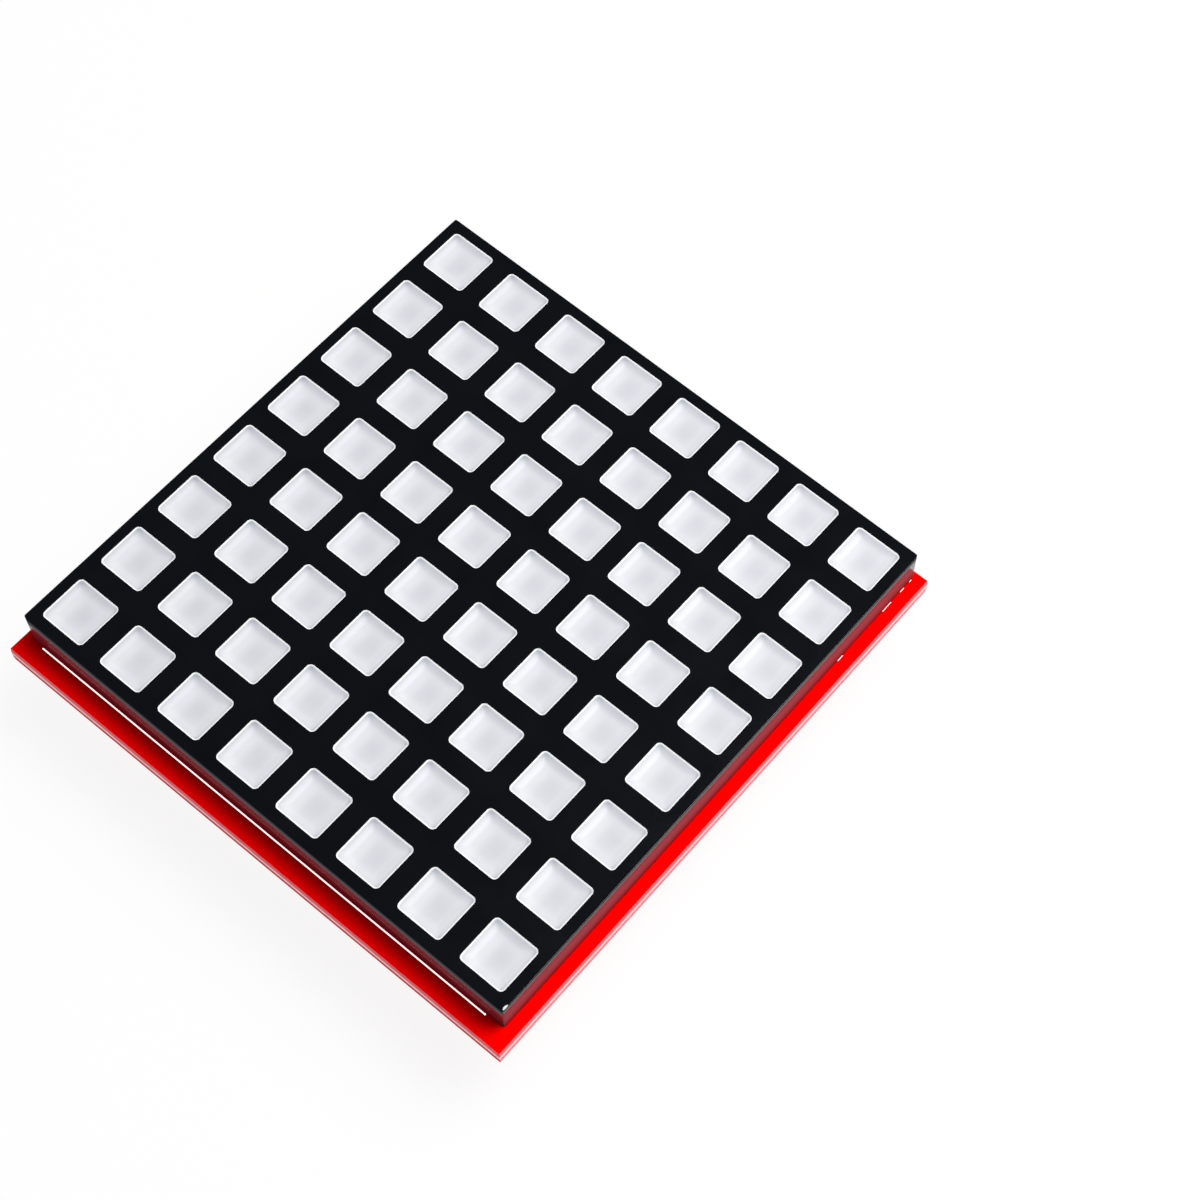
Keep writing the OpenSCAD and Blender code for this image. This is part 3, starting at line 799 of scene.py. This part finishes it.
class BackWork:
    """Pads, solder, tracks, vias and printed outlines on the side that carries the parts."""

    def __init__(self):
        self.pads, self.joints, self.tracks, self.prints = Shape(), Shape(), Shape(), Shape()
        self.registers = [feet(f"register_leads_{i}", [f"shift_register_{i}"], REGISTER_FOOT)
                          for i in range(1, REGISTERS + 1)]
        self.transistors = feet("transistor_leads", ["row_transistors"], TRANSISTOR_FOOT)
        self.columns = feet("column_resistor_ends", ["column_resistors"], CHIP_FOOT)
        self.bases = feet("base_resistor_ends", ["base_resistors"], CHIP_FOOT)

    def solder(self, found, rise):
        """A pad under each foot, and a fillet that slopes up round its metal."""
        for foot in found:
            pad = foot.outline(PAD_BESIDE, PAD_OUT)
            self.pads.loft(pad, BACK_Z - PAD_T, pad, BACK_Z + PAD_T)
            self.joints.loft(foot.outline(SOLDER_AT_TOP, SOLDER_AT_TOP), BACK_Z - rise,
                             foot.outline(SOLDER_BESIDE, SOLDER_OUT), BACK_Z - PAD_T / 2)

    def line(self, *route, width=TRACK_W):
        self.tracks.track(route, width, BACK_Z - TRACK_T, BACK_Z + TRACK_T)

    def via(self, place):
        self.tracks.disc(place, VIA_RING, BACK_Z - TRACK_T, BACK_Z + TRACK_T)
        self.pads.disc(place, VIA_HOLE, BACK_Z - PAD_T, BACK_Z + PAD_T, 16)

    def outline(self, box, beside, beyond):
        """A printed line round one part."""
        x0, x1 = box[0].x - beside, box[1].x + beside
        y0, y1 = box[0].y - beyond, box[1].y + beyond
        route = [Vector(p) for p in ((x0, y0), (x1, y0), (x1, y1), (x0, y1), (x0, y0))]
        self.prints.track(route, OUTLINE_W, BACK_Z - PRINT_T, BACK_Z + PRINT_T)

    def print_dot(self, place):
        self.prints.disc(place, PRINT_DOT, BACK_Z - PRINT_T, BACK_Z)

    def add_solder(self):
        for found in self.registers:
            self.solder(found, FILLET_RISE)
        self.solder(self.transistors, LOW_FILLET_RISE)
        self.solder(self.columns + self.bases, FILLET_RISE)
        for node, body in (("bypass_capacitor_ends", "bypass_capacitors"),
                           ("bulk_capacitor_ends", "bulk_capacitor")):
            self.solder(feet(node, [body], CHIP_FOOT), TALL_FILLET_RISE)
        for box in loose_parts("pin_solder"):
            self.pads.disc(middle_of(box).xy, PAD_RADIUS, BACK_Z - PAD_T, BACK_Z + PAD_T, 32)

    def add_column_lines(self):
        """Each column: register, resistor, and a via on to the display's pin."""
        for found in self.registers[:-1]:
            for foot in facing_back(found):
                end = min(facing_front(self.columns), key=lambda c: abs(c.x - foot.x))
                if abs(end.x - foot.x) < 3 * foot.half:
                    self.line(foot.start(), end.start())
        for i, foot in enumerate(facing_back(self.columns)):
            end = foot.start() + Vector((0, COLUMN_VIA_OUT + COLUMN_VIA_STEP * (i % 2)))
            self.line(foot.start(), end)
            self.via(end)

    def add_row_lines(self):
        """Each row: register, base resistor, transistor, and a via; and the rail that feeds them."""
        tops = facing_back(self.bases)
        for i, (lead, top) in enumerate(zip(facing_front(self.registers[-1]), tops)):
            inner = min(i, len(tops) - 1 - i)
            lane = lead.start().y - (1 + inner) * LANE_STEP
            self.line(top.start(), Vector((top.x, lane)), Vector((lead.x, lane)), lead.start())
        for low, base in zip(facing_front(self.bases), facing_back(self.transistors)):
            self.line(low.start(), base.start())
        others = facing_front(self.transistors)
        rail = others[0].start().y - ROW_RAIL_OUT
        for supply, row in zip(others[::2], others[1::2]):
            self.line(supply.start(), Vector((supply.x, rail)))
            end = row.start() + ROW_VIA_BESIDE
            self.line(row.start(), end)
            self.via(end)
        self.line(Vector((others[0].x, rail)), Vector((others[-1].x, rail)), width=ROW_RAIL_W)

    def add_headers(self):
        """Pads under the headers' feet, and the two supply lines that join the headers."""
        for name in ("input_header", "output_header"):
            body = corners(f"{name}_base")
            for box in sorted(loose_parts(f"{name}_pins"), key=lambda box: box[0].y):
                out = 1 if middle_of(box).x > middle_of(body).x else -1
                tip = box[1].x if out > 0 else box[0].x
                x0, x1 = sorted((tip + out * PAD_OUT, tip - out * HEADER_FOOT))
                self.pads.slab(x0, box[0].y - PAD_BESIDE, x1, box[1].y + PAD_BESIDE,
                               BACK_Z - PAD_T, BACK_Z + PAD_T)
            self.outline(body, *HEADER_OUTLINE)
            self.print_dot(body[0].xy + HEADER_DOT)
        left = corners("input_header_base")[1].x
        right = corners("output_header_base")[0].x
        levels = [middle_of(box).y for box in loose_parts("input_header_pins")]
        for y in (min(levels), max(levels)):
            self.line(Vector((left, y)), Vector((right, y)), width=RAIL_W)

    def add_outlines(self):
        for name in numbered("shift_register", REGISTERS):
            self.outline(corners(name), *REGISTER_OUTLINE)
            self.print_dot(corners(name)[0].xy + REGISTER_DOT)
        for node in ("bypass_capacitors", "bulk_capacitor"):
            for box in loose_parts(node):
                self.outline(box, *CAPACITOR_OUTLINE)

    def add_pieces(self, tin, copper, glowing_print):
        for name, shape, material, slot in (("back_pads", self.pads, tin, "solder"),
                                            ("back_joints", self.joints, tin, "solder"),
                                            ("back_tracks", self.tracks, copper, "board_red"),
                                            ("back_print", self.prints, glowing_print, "inner_board")):
            add_piece(name, shape.points, shape.faces, material)


# ---- print round the frame's foot, on the board's face ----
# A line before the front wall, which stops short of the frame's left and right sides
LINE_ENDS = (1.66 * MM, 2.2 * MM)
LINE_OUT = 0.2 * MM
LINE_W = 0.14 * MM

# Bits that show from under the right wall: how far out they start and end, and each one's place
# behind the frame's middle and its length, in mm
BIT_OUT = (-0.08 * MM, 0.03 * MM)
BITS_MM = ((18.66, 0.8), (26.11, 1.4), (28.57, 0.6), (29.92, 0.3))


def front_print(material):
    """The printed outline that shows along the frame's foot."""
    shape = Shape()
    z0, z1 = BOARD_HIGH.z - PRINT_T, BOARD_HIGH.z + PRINT_T
    line_y = FRAME_LOW.y - LINE_OUT
    left, right = FRAME_LOW.x + LINE_ENDS[0], FRAME_HIGH.x - LINE_ENDS[1]
    shape.track([Vector((left, line_y)), Vector((right, line_y))], LINE_W, z0, z1)
    x0, x1 = (FRAME_HIGH.x + out for out in BIT_OUT)
    for y, length in BITS_MM:
        shape.slab(x0, MIDDLE.y + (y - length / 2) * MM, x1, MIDDLE.y + (y + length / 2) * MM, z0, z1)
    add_piece("front_print", shape.points, shape.faces, material)


def main():
    add_camera()
    add_stage()
    dress(frame_black(), "housing")
    dress(board_red(), "circuit_board")
    dot, resin = Dot(), dot_resin()
    for row in range(1, ROWS + 1):
        add_dots(row, dot, resin)
    # The print's glow is painted light, which keeps the white print bright in the frame's shadow
    glowing_print = grained("glowing_print", (250, 250, 250), 0.5, spread=0.02, glow=1.0)
    front_print(glowing_print)
    tin = grained("tinned_pad", (222, 222, 224), 0.28, metallic=1.0, spread=0.05)
    copper = grained("masked_track", (255, 34, 28), 0.2, spread=0.03)
    back = BackWork()
    back.add_solder()
    back.add_column_lines()
    back.add_row_lines()
    back.add_headers()
    back.add_outlines()
    back.add_pieces(tin, copper, glowing_print)
    for name, color, roughness, metallic, nodes in FINISHES:
        dress(grained(name, color, roughness, metallic), *nodes)


main()
